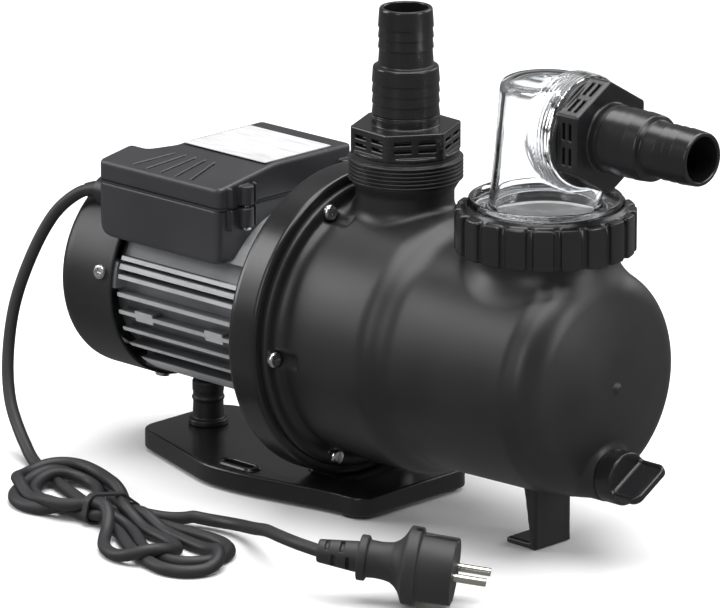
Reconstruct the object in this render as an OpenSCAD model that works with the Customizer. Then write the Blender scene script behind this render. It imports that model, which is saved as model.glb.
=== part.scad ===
// Self-contained plastic pool pump: induction motor, volute, strainer pot and clear lid.
// Millimetres. +X runs from the motor to the suction side, +Z is up, Z = 0 is the floor.

/* [Main sizes] */
// Height of the motor and pump axis above the floor
axis_z = 105; // [90:1:130]
// Radius of the black ring that joins motor and pump
ring_r = 93; // [85:1:105]
// Radius of the volute part of the pump housing
volute_r = 78; // [70:1:84]
// Radius of the strainer pot barrel
barrel_r = 70; // [60:1:76]
// Distance from the outlet axis to the strainer lid axis
lid_x = 111; // [100:1:125]

/* [Motor] */
// Radius over the tips of the cooling fins
fin_r = 60; // [54:1:64]
// Distance between two of the level cooling fins
fin_pitch = 11; // [9:0.5:13]
// Radius of the fan cover
cover_r = 63; // [58:1:68]
// Radius of the motor shaft at the bearings
shaft_r = 7.5; // [6:0.5:9]

/* [Ports] */
// Outer radius of the 32 mm hose tail
small_tail_r = 16; // [14:0.5:18]
// Outer radius of the 38 mm hose tail
large_tail_r = 19.5; // [18:0.5:22]
// Height of the top of the outlet hose tail
outlet_top_z = 301; // [280:1:320]
// Height of the suction port axis
suction_z = 252; // [240:1:260]
// Number of grip ribs round the lock ring
ring_rib_count = 20; // [12:1:24]

/* [Base] */
// Thickness of the base plate
plate_t = 12; // [8:1:16]
// Height of the rubber pads under the base plate
pad_t = 2; // [1:0.5:4]
// Distance between the two mounting slots
slot_spacing = 96; // [80:2:110]

/* [Cord] */
// Diameter of the mains cord
cord_d = 7.5; // [6:0.5:9]

/* [Part to show] */
// Sub-part to draw on its own, or all of them

/* [Hidden] */
$fn = 96;
fit = 0.03;
motor_x0 = -182;
motor_x1 = -80;
cover_x0 = -230;
cover_x1 = -184;
fin_mid_z = 104;
seat_rib_z = 121;
rib_turn = 5.4;
plate_x0 = -44;
flange_x = -29;
boss_top_z = 198;
tail_len = 86;
small_len = 34;
large_len = 35.5;
hex_len = tail_len - small_len - large_len;
outlet_seat_z = outlet_top_z - tail_len;
suction_end_x = 230;
suction_seat_x = suction_end_x - tail_len;
gasket_t = 2;
spigot_r = 23.6;
port_r = 33.8;
drain_z = 53;
drain_x = 164;
screw_angles = [25, 94, 159, -25, -94, -159];
screw_circle_r = 81.5;
lug_angles = [80, 170, 260, 350];
rod_angles = [45, 135, 225, 315];
rod_circle_r = 44.6;
plug_turn = 35;
plug_tilt = 6.5;
plug_at = [134, -133, 22.8];
label_at = [-164.3, -19.5];
label_size = [68, 55.5];

// ---------- helpers ----------

// Unit vector of v.
function unit(v) = v / norm(v);

// Points of one rounded corner b between neighbours a and c.
function corner(a, b, c, r, n = 5) =
  let (p = b + r * unit(a - b), q = b + r * unit(c - b))
  [for (i = [0:n]) let (t = i / n) (1 - t) * (1 - t) * p + 2 * t * (1 - t) * b + t * t * q];

// Closed outline with every corner rounded by r.
function rounded(pts, r) =
  let (n = len(pts))
  [for (i = [0:n - 1]) each corner(pts[(i + n - 1) % n], pts[i], pts[(i + 1) % n], r)];

// Open path of [x, y, corner radius] points; the end points stay sharp.
function eased(pts) =
  let (n = len(pts), flat = [for (p = pts) [p[0], p[1]]])
  [for (i = [0:n - 1])
    each (i == 0 || i == n - 1 || pts[i][2] == 0)
      ? [flat[i]]
      : corner(flat[i - 1], flat[i], flat[i + 1], pts[i][2])];

// Thread flanks as a zigzag of [radius, height] points.
function ridges(r, depth, z0, pitch, count) =
  [for (i = [0:count - 1]) each [
    [r - depth, z0 + i * pitch],
    [r, z0 + (i + 0.35) * pitch],
    [r, z0 + (i + 0.65) * pitch],
    [r - depth, z0 + (i + 1) * pitch]
  ]];

// Stand children, built along +Z, along the pump axis from x.
module along_axis(x = 0) {
  translate([x, 0, axis_z])
    rotate([0, 90, 0])
      children();
}

// Turned body from [radius, x] points.
module turned(points) {
  along_axis()
    rotate_extrude()
      polygon(points);
}

// Ring between two radii from x0 to x1.
module ring(r0, r1, x0, x1) {
  turned([[r0, x0], [r1, x0], [r1, x1], [r0, x1]]);
}

// Children placed at angle a from the top, turning toward -Y.
module around(a, r) {
  translate([0, 0, axis_z])
    rotate([a, 0, 0])
      translate([0, 0, r])
        children();
}

// Rod along X at angle a and radius r.
module rod(a, r, rod_r, x0, x1) {
  around(a, r)
    translate([x0, 0, 0])
      rotate([0, 90, 0])
        cylinder(r = rod_r, h = x1 - x0);
}

// Plate between z0 and z1 from an outline.
module slab(points, z0, z1) {
  translate([0, 0, z0])
    linear_extrude(z1 - z0)
      polygon(points);
}

// Block extruded along Y from an [x, z] outline.
module side_slab(points, y0, y1) {
  translate([0, y1, 0])
    rotate([90, 0, 0])
      linear_extrude(y1 - y0)
        polygon(points);
}

// Block extruded along X from a [y, z] outline.
module end_slab(points, x0, x1) {
  translate([x0, 0, 0])
    rotate([90, 0, 90])
      linear_extrude(x1 - x0)
        polygon(points);
}

// ---------- base ----------

base_half = [[10, 47], [-12, 47], [-80, 60], [-106, 61], [-190, 34]];
base_outline = rounded(concat(base_half, [for (i = [4:-1:0]) [base_half[i][0], -base_half[i][1]]]), 12);
plate_top = pad_t + plate_t;

module slot_shape(r, half) {
  for (s = [-1, 1])
    translate([s * half, 0, 0])
      circle(r = r);
  square([2 * half, 2 * r], center = true);
}

module base_plate() {
  color("#1b1c1e")
  difference() {
    union() {
      slab(base_outline, pad_t, plate_top);
      for (s = [-1, 1])
        translate([-90, s * slot_spacing / 2, pad_t])
          linear_extrude(plate_t + 1.5)
            slot_shape(6, 9);
      translate([-54, -26, pad_t])
        cube([22, 52, 18]);
    }
    for (s = [-1, 1])
      translate([-90, s * slot_spacing / 2, -1])
        linear_extrude(40)
          slot_shape(3.5, 9);
    along_axis(-60)
      cylinder(r = ring_r + fit, h = 40);
    for (s = [-1, 1])
      translate([-43, s * 14, -1])
        cylinder(r = 2.5, h = 40);
    for (s = [-1, 1])
      translate([-43, s * 14, pad_t - 1])
        cylinder(r = 5, h = 4.5);
    translate([-165, 0, -1])
      cylinder(r = 3, h = 40);
  }
}

module base_pads() {
  color("#242424")
  for (p = [[-4, 35], [-4, -35], [-172, 24], [-172, -24]])
    translate([p[0], p[1], 0])
      cylinder(r = 10, h = pad_t);
}

module base_screws() {
  color("silver")
  for (s = [-1, 1])
    translate([-43, s * 14, 0]) {
      translate([0, 0, pad_t + 0.6])
        cylinder(r = 4.6, h = 2.85);
      translate([0, 0, pad_t + 3.4])
        cylinder(r = 2.1, h = 11);
    }
}

module motor_post() {
  color("#202122")
  difference() {
    union() {
      translate([-165, 0, plate_top])
        cylinder(r = 12, h = 4);
      translate([-165, 0, plate_top])
        cylinder(r = 9.7, h = 28);
      translate([-165, 0, plate_top])
        cylinder(r = 6, h = 40);
      translate([-165, 0, pad_t + 2])
        cylinder(r = 2.9, h = 14);
    }
    along_axis(-190)
      cylinder(r = fin_r + fit, h = 50);
  }
}

// ---------- motor ----------

// Level bar across the motor, wider than the motor on both sides.
module cross_bar(x0, x1, mid_z, height) {
  translate([x0, -70, mid_z - height / 2])
    cube([x1 - x0, 140, height]);
}

module motor_housing() {
  color("#c9cdd1")
  difference() {
    union() {
      ring(47, 51.5, motor_x0, motor_x1);
      intersection() {
        ring(50, fin_r, motor_x0 + 1, motor_x1 - 1);
        union() {
          for (i = [-4:2])
            cross_bar(motor_x0, motor_x1, fin_mid_z + i * fin_pitch, 2.4);
          for (x = [-167, -108])
            cross_bar(x, x + 14.5, fin_mid_z - fin_pitch, 6.4);
          cross_bar(motor_x0, motor_x1, seat_rib_z, 3);
          cross_bar(motor_x0, motor_x1, 50, 20);
          cross_bar(motor_x0, motor_x1, 157, 38);
        }
      }
      intersection() {
        ring(50, fin_r - 2.5, motor_x0 + 1, motor_x1 - 1);
        cross_bar(motor_x0, motor_x1, 151, 50);
      }
    }
    translate([-130, 0, axis_z])
      cylinder(r = 7, h = 80);
  }
}

module rear_bracket() {
  color("#9ea2a6")
  difference() {
    union() {
      ring(17.5 + fit, 51, -190, motor_x0 - fit);
      ring(17.5 + fit, 24, -192, -174);
      ring(40, 47 - fit, -183, -178);
      for (a = lug_angles)
        intersection() {
          ring(50, cover_r - 2.1, -200, motor_x0 - fit);
          around(a, 30)
            translate([-205, -8, 0])
              cube([30, 16, 40]);
        }
    }
    for (a = lug_angles)
      around(a, 45)
        translate([-193, 0, 0])
          cylinder(r = 1.6, h = 40);
    for (a = rod_angles)
      rod(a, rod_circle_r, 2, -200, -170);
  }
}

module front_bracket() {
  color("#9ea2a6")
  difference() {
    union() {
      turned([[17.5 + fit, -68], [17.5 + fit, -80], [24, -80], [24, motor_x1 + 6], [40, motor_x1 + 4],
        [40, -84], [47 - fit, -84], [47 - fit, motor_x1 + fit], [58, motor_x1 + fit],
        [66, -70], [66, -56 - fit], [9, -56 - fit], [9, -68]]);
    }
    for (a = rod_angles)
      rod(a, rod_circle_r, 2, -90, -64);
  }
}

module tie_rods() {
  color("#b9bcc0")
  for (a = rod_angles) {
    rod(a, rod_circle_r, 1.9, -190.2, -64.5);
    rod(a, rod_circle_r, 3.6, -193, -190.05);
  }
}

module stator_core() {
  color("#6f7378")
  difference() {
    ring(28, 47 - fit, -160, -98);
    for (i = [0:23])
      around(i * 15, 30.5)
        translate([-161, -1.8, 0])
          cube([64, 3.6, 9]);
    for (a = rod_angles)
      rod(a, rod_circle_r, 2, -161, -97);
  }
}

module stator_windings() {
  color("#b5642d")
  union() {
    for (i = [0:23])
      around(i * 15, 30.6)
        translate([-166, -1.7, 0])
          cube([74, 3.4, 8.8]);
    turned(rounded([[30.2, -173], [41.5, -173], [41.5, -160.2], [30.2, -160.2]], 3));
    turned(rounded([[30.2, -97.8], [41.5, -97.8], [41.5, -86], [30.2, -86]], 3));
  }
}

module rotor_core() {
  color("#8b9096")
  difference() {
    union() {
      ring(9 + fit, 27.6, -161, -97);
      ring(20, 27, -165, -93);
    }
    for (i = [0:11])
      rod(i * 30, 15, 2.2, -170, -90);
  }
}

module motor_shaft() {
  color("#d5d7da")
  union() {
    ring(0, 6, -226, -189.9);
    ring(0, shaft_r, -190, -173.9);
    ring(0, 9, -174, -79);
    ring(0, shaft_r, -79.1, -66.9);
    ring(0, 6, -67, -3);
    ring(0, 4, -3.1, 9);
  }
}

module bearing_pair(r0, r1) {
  for (x = [-188, -79])
    ring(r0, r1, x, x + 11);
}

module bearing_outer_rings() {
  color("#b8bbbf")
  difference() {
    bearing_pair(14.6, 17.5);
    for (x = [-182.5, -73.5])
      along_axis(x)
        rotate_extrude()
          translate([12.5, 0])
            circle(r = 2.75);
  }
}

module bearing_inner_rings() {
  color("#b8bbbf")
  difference() {
    bearing_pair(shaft_r + fit / 2, 10.4);
    for (x = [-182.5, -73.5])
      along_axis(x)
        rotate_extrude()
          translate([12.5, 0])
            circle(r = 2.75);
  }
}

module bearing_balls() {
  color("#e2e4e6")
  for (x = [-182.5, -73.5], i = [0:7])
    around(i * 45, 12.5)
      translate([x, 0, 0])
        sphere(r = 2.7, $fn = 48);
}

module cooling_fan() {
  color("#2a2b2d")
  difference() {
    union() {
      ring(6 + fit, 12, -224, -204);
      ring(11, 50, -206.5, -204);
      for (i = [0:6])
        around(i * 360 / 7, 11)
          translate([-222, -1.1, 0])
            cube([16, 2.2, 40]);
    }
  }
}

module fan_cover() {
  color("#1d1e20")
  difference() {
    turned(concat(
      eased([[0, cover_x0, 0], [cover_r, cover_x0, 9], [cover_r, cover_x1, 0]]),
      eased([[cover_r - 2, cover_x1, 0], [cover_r - 2, cover_x0 + 2.2, 7.5], [0, cover_x0 + 2.2, 0]])));
    for (r = [14, 21, 28, 35, 42, 49])
      difference() {
        ring(r, r + 3.6, cover_x0 - 1, cover_x0 + 4);
        for (a = [0, 60, 120])
          translate([cover_x0 - 5, 0, axis_z])
            rotate([a, 0, 0])
              translate([0, -3, -70])
                cube([12, 6, 140]);
      }
    for (a = lug_angles)
      around(a, cover_r - 5)
        translate([-193, 0, 0])
          cylinder(r = 2.3, h = 10);
  }
}

module pan_head(head_r, head_h) {
  difference() {
    rotate_extrude()
      polygon(eased([[0, 0, 0], [head_r, 0, 0], [head_r, head_h, head_r * 0.4], [0, head_h, 0]]));
    for (a = [0, 90])
      rotate([0, 0, a])
        translate([-head_r * 0.6, -0.45, head_h - 1.2])
          cube([head_r * 1.2, 0.9, 3]);
  }
}

module fan_cover_screws() {
  color("#d8dadd")
  for (a = lug_angles)
    around(a, cover_r + 0.05)
      translate([-193, 0, 0]) {
        pan_head(4.6, 2.6);
        translate([0, 0, -10])
          cylinder(r = 1.55, h = 10.2);
      }
}

// ---------- terminal box ----------

box_plan = rounded([[-195, -62], [-92, -62], [-92, 50], [-168, 50], [-168, -20], [-180, -34], [-195, -34]], 4);
box_inner = rounded([[-192, -59], [-95, -59], [-95, 47], [-165, 47], [-165, -22], [-178, -37], [-192, -37]], 3);
seam_z = 172;
box_screw_points = [[-90.2, -41.5], [-170, 43], [-90.2, 43]];
boss_foot_z = 160;

// Half round screw bosses outside the walls of the box and its lid.
module screw_bosses(z0, z1) {
  for (p = box_screw_points)
    translate([p[0], p[1], z0])
      cylinder(r = 4.6, h = z1 - z0);
}

module box_body(z0, z1) {
  intersection() {
    slab(box_plan, z0, z1);
    side_slab(eased([[-195, 138, 14], [-92, 138, 8], [-92, 200, 0], [-195, 200, 0]]), -70, 60);
  }
}

module terminal_box() {
  color("#2b2c30")
  difference() {
    union() {
      difference() {
        box_body(138, seam_z);
        difference() {
          slab(box_inner, 140.5, seam_z + 1);
          along_axis(-200)
            cylinder(r = cover_r + 3, h = 120);
        }
      }
      translate([-152, 8, 160])
        cube([44, 22, 10.8]);
      screw_bosses(boss_foot_z, seam_z);
    }
    along_axis(-200)
      cylinder(r = fin_r + 0.2, h = 120);
    along_axis(-200)
      cylinder(r = cover_r + 0.3, h = 17);
    translate([-130, 0, 100])
      cylinder(r = 7, h = 75);
    translate([-200, -45, 161])
      rotate([0, 90, 0])
        cylinder(r = 6.1, h = 12);
    for (p = box_screw_points) {
      translate([p[0], p[1], 155])
        cylinder(r = 1.6, h = 30);
      translate([p[0], p[1], boss_foot_z - 6])
        cylinder(r = 3.2, h = 6);
    }
  }
}

module box_gasket() {
  color("#3a3a3a")
  difference() {
    slab(box_plan, seam_z + 0.02, seam_z + 1);
    slab(rounded([[-190, -57], [-97, -57], [-97, 45], [-163, 45], [-163, -24], [-177, -39], [-190, -39]], 3),
      seam_z - 1, seam_z + 3);
    for (p = box_screw_points)
      translate([p[0], p[1], 155])
        cylinder(r = 1.7, h = 30);
  }
}

lid_profile = rounded([[-62, seam_z + 1.04], [-62, 185], [-14, 193], [50, 193], [50, seam_z + 1.04]], 1.5);
lid_hollow = [[-59, 160], [-59, 182.8], [-14, 190.4], [47, 190.4], [47, 160]];

module box_lid() {
  color("#34353a")
  difference() {
    union() {
      intersection() {
        slab(box_plan, seam_z, 200);
        end_slab(lid_profile, -200, -80);
      }
      screw_bosses(seam_z + 1.04, 186);
    }
    intersection() {
      slab(box_inner, 160, 200);
      end_slab(lid_hollow, -200, -80);
    }
    for (i = [-2:2])
      translate([-143.5 + i * 10.3, -44.5, 180])
        rotate([0, 0, -5 + i * 9])
          translate([-0.8, -13.5, 0])
            cube([1.6, 27, 20]);
    for (p = box_screw_points)
      translate([p[0], p[1], 160])
        cylinder(r = 1.5, h = 24);
  }
}

module box_screws() {
  color("#d8dadd")
  for (p = box_screw_points)
    translate([p[0], p[1], boss_foot_z - 0.05])
      rotate([180, 0, 0]) {
        pan_head(3, 2.2);
        translate([0, 0, -23])
          cylinder(r = 1.45, h = 23.2);
      }
}

module rating_label() {
  color("#f1f1ef")
  translate([label_at[0], label_at[1], 193.02])
    cube([label_size[0], label_size[1], 0.4]);
}

module run_capacitor() {
  color("#e8e8e4")
  translate([-167, -43.3, 168.8])
    rotate([0, 90, 0])
      cylinder(r = 10.8, h = 56);
}

module terminal_block() {
  color("#e0d9c4")
  difference() {
    translate([-150, 10, 170.85])
      cube([40, 18, 9.2]);
    for (i = [0:4])
      translate([-146 + i * 8, 5, 175])
        rotate([-90, 0, 0])
          cylinder(r = 2, h = 30);
    for (i = [0:4])
      translate([-146 + i * 8, 19, 176])
        cylinder(r = 1.8, h = 10);
  }
}

module cable_gland() {
  color("#1f2022")
  difference() {
    union() {
      translate([-208, -45, 161])
        rotate([0, 90, 0])
          cylinder(r = 8.5, h = 12.9);
      translate([-196, -45, 161])
        rotate([0, 90, 0])
          cylinder(r = 6, h = 8);
    }
    translate([-210, -45, 161])
      rotate([0, 90, 0])
        cylinder(r = cord_d / 2 + 0.1, h = 30);
  }
}

// ---------- wet end ----------

module seal_plate() {
  color("#17181a")
  difference() {
    turned(concat(
      eased([[15.2, -56, 0], [ring_r, -56, 5], [ring_r, -33, 3], [87.4, -33, 0]]),
      [[87.4, plate_x0], [15.2, plate_x0]]));
    ring(79.4, 83.4, plate_x0 - 3.2, plate_x0 + 1);
    for (a = screw_angles)
      rod(a, screw_circle_r + 4, 0.1, -50, -49);
    for (s = [-1, 1])
      translate([-43, s * 14, 0])
        cylinder(r = 2.15, h = 17);
  }
}

module housing_o_ring() {
  color("#2d2d2d")
  along_axis(plate_x0 - 1.6)
    rotate_extrude()
      translate([81.4, 0])
        circle(r = 1.55);
}

module seal_seat() {
  color("#ece8df")
  ring(7, 15.2 - fit, -52, plate_x0);
}

module seal_head() {
  color("#55585c")
  union() {
    ring(6 + fit, 12, plate_x0 + 0.05, -38);
    ring(6 + fit, 10, -38.1, -29);
    ring(6 + fit, 13, -29.1, -27.1);
  }
}

module impeller() {
  color("#3c4043")
  difference() {
    union() {
      ring(6 + fit, 11, -27, -3);
      ring(10, 57, -24, -21);
      turned([[22, -9], [57, -9], [57, -6.5], [24.5, -6.5], [24.5, 4], [22, 4]]);
      for (i = [0:5])
        around(i * 60, 0)
          translate([-22, 0, 10])
            rotate([28, 0, 0])
              translate([0, -1.3, 0])
                cube([14, 2.6, 43]);
    }
    ring(57, 70, -30, 0);
  }
}

module impeller_nut() {
  color("#d8dadd")
  difference() {
    along_axis(-2.9)
      cylinder(r = 7.5, h = 7, $fn = 6);
    along_axis(-5)
      cylinder(r = 4 + fit, h = 20);
  }
}

module diffuser() {
  color("#45494d")
  union() {
    ring(24.9, 72.6, 4.2, 7);
    ring(24.9, 28, -4, 4.3);
    for (i = [0:7])
      around(i * 45 + 22.5, 0)
        translate([-20, 0, 60])
          rotate([35, 0, 0])
            translate([0, -1.2, 0])
              cube([24.3, 2.4, 11]);
  }
}

// Outer skin of the pump housing from flange to dome.
housing_outer = eased([
  [0, plate_x0 + 0.02, 0], [87.1, plate_x0 + 0.02, 0], [87.1, flange_x, 2], [79.5, flange_x, 0],
  [77.2, -24, 2], [volute_r, -17, 3], [volute_r, 38, 8], [barrel_r + 0.6, 50, 6],
  [barrel_r - 1.5, 139, 3], [66, 148, 4], [60.5, 155.5, 4], [33, 163.6, 12], [12, 167.4, 8], [0, 167.6, 0]]);
pot_cavity = eased([[0, 14, 0], [64, 14, 4], [65.5, 50, 4], [64, 137, 4], [61, 144, 3], [57, 149, 3],
  [32, 157.6, 8], [0, 162, 0]]);

module port_collar() {
  rotate_extrude()
    polygon(concat([[0, -20], [28.6, -20], [port_r - 1.2, -14]],
      ridges(port_r, 1.2, -14, 2.3, 5), [[port_r - 1.2, 0], [0, 0]]));
}

module drain_boss() {
  translate([140, 0, drain_z])
    rotate([0, 90, 0])
      cylinder(r = 16, h = drain_x - 140);
}

module front_foot() {
  side_slab([[105, 38], [118.6, 38], [118.6, 0], [95.5, 0], [95.5, 4], [108.5, 4], [112.6, 7]], -14.6, -11.6);
  side_slab([[105, 38], [118.6, 38], [118.6, 0], [95.5, 0], [95.5, 4], [108.5, 4], [112.6, 7]], 11.6, 14.6);
  side_slab([[115, 38], [118.6, 38], [118.6, 0], [115, 0]], -14, 14);
  side_slab([[95.5, 4], [95.5, 0], [118, 0], [118, 4]], -14, 14);
}

module lid_boss() {
  translate([lid_x, 0, 105])
    cylinder(r = 41, h = 72);
  translate([lid_x, 0, 0])
    rotate_extrude()
      polygon(concat([[0, 150], [41, 150], [41, 177], [44.4, 178]],
        ridges(45.6, 1.2, 179, 4, 4), [[44.4, boss_top_z], [0, boss_top_z]]));
}

module screw_pocket(a) {
  rod(a, screw_circle_r, 2.2, -60, 0);
  rod(a, screw_circle_r, 6, flange_x - 0.01, -13);
}

module pump_housing() {
  color("#202123")
  difference() {
    union() {
      turned(housing_outer);
      translate([0, 0, 105])
        cylinder(r = 28.6, h = outlet_seat_z - gasket_t - 105 - 19);
      translate([0, 0, outlet_seat_z - gasket_t])
        port_collar();
      lid_boss();
      drain_boss();
      front_foot();
      translate([167.2, 0, axis_z])
        rotate([0, 90, 0])
          cylinder(r = 2, h = 1.2);
    }
    ring(0, 73, plate_x0 - 1, 8);
    ring(0, 24.6, 7, 15);
    turned(pot_cavity);
    cylinder_up(0, 20, 165, outlet_seat_z);
    cylinder_up(0, spigot_r + 0.15, outlet_seat_z - 19, outlet_seat_z);
    cylinder_up(lid_x, 34.5, 140, 200);
    cylinder_up(lid_x, 37, 194, 200);
    translate([lid_x, 0, boss_top_z])
      rotate_extrude()
        polygon([[38.9, -2.6], [42.3, -2.6], [42.3, 1], [38.9, 1]]);
    translate([130, 0, drain_z])
      rotate([0, 90, 0])
        cylinder(r = 10.45, h = 50);
    translate([drain_x - 1.2, 0, drain_z])
      rotate([0, 90, 0])
        cylinder(r = 13.6, h = 10);
    for (a = screw_angles)
      screw_pocket(a);
  }
}

module cylinder_up(x, r, z0, z1) {
  translate([x, 0, z0])
    cylinder(r = r, h = z1 - z0 + 0.01);
}

module housing_screws() {
  color("#d8dadd")
  for (a = screw_angles)
    around(a, screw_circle_r)
      translate([flange_x + 0.02, 0, 0])
        rotate([0, 90, 0]) {
          pan_head(4.8, 3.2);
          translate([0, 0, -14.6])
            cylinder(r = 2.1, h = 14.8);
        }
}

module strainer_basket() {
  color("#dfe3e4")
  difference() {
    union() {
      cylinder_up(lid_x, 33.5, 50, 193);
      cylinder_up(lid_x, 36.6, 194.1, 195.9);
      cylinder_up(lid_x, 34.2, 189, 195);
    }
    cylinder_up(lid_x, 31.3, 52.5, 200);
    for (z = [62, 92, 122, 152], i = [0:5])
      translate([lid_x, 0, z])
        rotate([0, 0, i * 30])
          translate([-40, -4.5, 0])
            cube([80, 9, 22]);
    for (i = [0:5])
      translate([lid_x + 20 * cos(i * 60), 20 * sin(i * 60), 40])
        cylinder(r = 5, h = 20);
  }
}

// ---------- lid, ring and hose tails ----------

module cover_o_ring() {
  color("#2d2d2d")
  translate([lid_x, 0, boss_top_z - 1.2])
    rotate_extrude()
      translate([40.6, 0])
        circle(r = 1.25);
}

module strainer_cover() {
  color("#dfe8ee", 0.35)
  difference() {
    union() {
      translate([lid_x, 0, 0])
        rotate_extrude()
          polygon(concat(
            [[0, 198.2], [46.8, 198.2], [46.8, 201.2], [44.5, 201.2], [44.5, 208.5], [42.4, 208.5],
              [41.6, 203.2], [34, 202.6]],
            eased([[32.6, 206, 0], [29.4, 236, 0], [26.4, 277.5, 5], [0, 279.5, 0]])));
      translate([suction_seat_x - gasket_t, 0, suction_z])
        rotate([0, 90, 0])
          port_collar_short();
    }
    translate([lid_x, 0, 0])
      rotate_extrude()
        polygon([[0, 190], [30, 190], [29.6, 206], [26.4, 236], [22.6, 273], [0, 275.5]]);
    translate([lid_x, 0, suction_z])
      rotate([0, 90, 0])
        cylinder(r = 19, h = 60);
    translate([suction_seat_x - gasket_t - 14, 0, suction_z])
      rotate([0, 90, 0])
        cylinder(r = spigot_r + 0.15, h = 40);
  }
}

module port_collar_short() {
  rotate_extrude()
    polygon(concat([[0, -30], [24, -30], [32.6, -15]],
      ridges(port_r, 1.2, -13, 2.4, 5), [[port_r - 1.2, 0], [0, 0]]));
}

module lock_ring() {
  color("#141517")
  translate([lid_x, 0, 0])
  difference() {
    union() {
      rotate_extrude()
        polygon(concat(
          eased([[46, 177.6, 0], [50, 177.6, 1], [50, 200, 5], [45.2, 205.6, 1.5], [45.2, 201.5, 0]]),
          [[47.2, 201.5], [47.2, 197.8], [46, 197.8]]));
      for (i = [0:ring_rib_count - 1])
        rotate([0, 0, rib_turn + i * 360 / ring_rib_count])
          intersection() {
            translate([48, -5.9, 177.6])
              cube([4.4, 11.8, 23.2]);
            cylinder(r = 52.3, h = 300);
          }
    }
  }
}

// Stepped hose tail standing on its hexagon, spigot pointing down.
module hose_tail() {
  difference() {
    union() {
      difference() {
        cylinder(r = 33, h = hex_len, $fn = 6);
        for (z = [10.2, 5.4], i = [0:5], s = [-1, 1])
          rotate([0, 0, 30 + 60 * i])
            translate([27, s * 7.2 - 5, z])
              cube([5, 10, 2]);
      }
      cylinder(r = 31.5, h = 2.5);
      translate([0, 0, -14])
        cylinder(r = spigot_r, h = 15);
      rotate_extrude()
        polygon(concat([[0, 0], [large_tail_r, hex_len]],
          tail_barbs(large_tail_r, hex_len, large_len), tail_barbs(small_tail_r, hex_len + large_len, small_len),
          [[0, tail_len]]));
    }
    translate([0, 0, -20])
      cylinder(r = small_tail_r - 3, h = 140);
    translate([0, 0, -20])
      cylinder(r = spigot_r - 3.6, h = 16);
  }
}

// Outline of one hose step: four shallow ridges, then a smooth nose.
function tail_barbs(r, z0, length) =
  concat([[r - 0.5, z0 + 0.01]],
    [for (i = [0:4]) each [[r - 0.5, z0 + length * (0.2 + i * 0.1)],
      [r, z0 + length * (0.22 + i * 0.1)], [r - 0.5, z0 + length * (0.29 + i * 0.1)]]],
    [[r, z0 + length * 0.74], [r, z0 + length]]);

module discharge_hose_tail() {
  color("#191a1c")
  translate([0, 0, outlet_seat_z])
    rotate([0, 0, -5])
      hose_tail();
}

module suction_hose_tail() {
  color("#191a1c")
  translate([suction_seat_x, 0, suction_z])
    rotate([0, 90, 0])
      hose_tail();
}

module flat_gasket() {
  difference() {
    cylinder(r = 31, h = gasket_t - 2 * fit);
    translate([0, 0, -1])
      cylinder(r = spigot_r + 0.1, h = 10);
  }
}

module discharge_gasket() {
  color("#2d2d2d")
  translate([0, 0, outlet_seat_z - gasket_t + fit])
    flat_gasket();
}

module suction_gasket() {
  color("#2d2d2d")
  translate([suction_seat_x - gasket_t + fit, 0, suction_z])
    rotate([0, 90, 0])
      flat_gasket();
}

module drain_plug() {
  color("#191a1c")
  translate([drain_x, 0, drain_z])
    rotate([0, 90, 0]) {
      translate([0, 0, 0.1])
        cylinder(r = 15.6, h = 12.4);
      translate([0, 0, -8])
        cylinder(r = 10.4, h = 8.2);
      rotate([0, 0, 30])
        translate([-2, -15, 12])
          cube([4, 30, 19]);
    }
}

module drain_o_ring() {
  color("#2d2d2d")
  translate([drain_x - 0.55, 0, drain_z])
    rotate([0, 90, 0])
      rotate_extrude()
        polygon([[10.7, -0.55], [13.4, -0.55], [13.4, 0.55], [10.7, 0.55]]);
}

// ---------- mains cord ----------

function route_point(pts, i) = pts[min(max(i, 0), len(pts) - 1)];

// Smooth curve through a list of points, steps per span.
function smooth_route(pts, steps) =
  [for (i = [0:len(pts) - 2], k = [0:steps - 1])
    let (a = route_point(pts, i - 1), b = pts[i], c = pts[i + 1], d = route_point(pts, i + 2), t = k / steps)
    0.5 * (2 * b + (c - a) * t + (2 * a - 5 * b + 4 * c - d) * t * t + (3 * b - a - 3 * c + d) * t * t * t),
    pts[len(pts) - 1]];

// Round tube swept along a route.
module tube(route, d, sides = 8) {
  n = len(route);
  rings = [for (i = [0:n - 1])
    let (
      t = unit(route_point(route, i + 1) - route_point(route, i - 1)),
      side = unit(abs(t[2]) > 0.9 ? cross(t, [0, 1, 0]) : cross(t, [0, 0, 1])),
      up = cross(side, t)
    )
    for (k = [0:sides - 1])
      route[i] + d / 2 * (cos(k * 360 / sides) * side + sin(k * 360 / sides) * up)];
  walls = [for (i = [0:n - 2], k = [0:sides - 1])
    let (a = i * sides + k, b = i * sides + (k + 1) % sides)
    [a, a + sides, b + sides, b]];
  first = [for (k = [0:sides - 1]) k];
  last = [for (k = [sides - 1:-1:0]) (n - 1) * sides + k];
  polyhedron(rings, concat([first], walls, [last]), convexity = 6);
}

drop_route = [
  [-197, -45, 161], [-212, -45, 160.6], [-228, -47, 155], [-243, -53, 140], [-253, -62, 115],
  [-258, -72, 85], [-255, -81, 55], [-245, -89, 31], [-227, -97, 14], [-206, -107, 6]];
lead_route = [
  [-72, -128, 8], [-48, -118, 6], [-23, -117, 8], [0, -126, 13], [23, -139, 20], [46, -152, 25],
  [69, -161, 28], [91, -162.5, 28]];

module power_cord() {
  color("#242528")
  tube(smooth_route(drop_route, 3), cord_d);
}

module plug_lead() {
  color("#242528")
  tube(smooth_route(lead_route, 3), cord_d);
}

hank_outline = rounded([
  [-214, -100], [-130, -106], [-64, -128], [14, -150], [26, -180], [-60, -186], [-140, -182], [-190, -150]], 12);

module cord_hank() {
  color("#242528")
  slab(hank_outline, 0.2, 20);
}

module cord_tie() {
  color("#18191a")
  difference() {
    translate([-101, -186, 0.2])
      cube([5, 78, 22]);
    translate([-110, -184.4, -1])
      cube([20, 74.8, 21.1]);
  }
}

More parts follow.
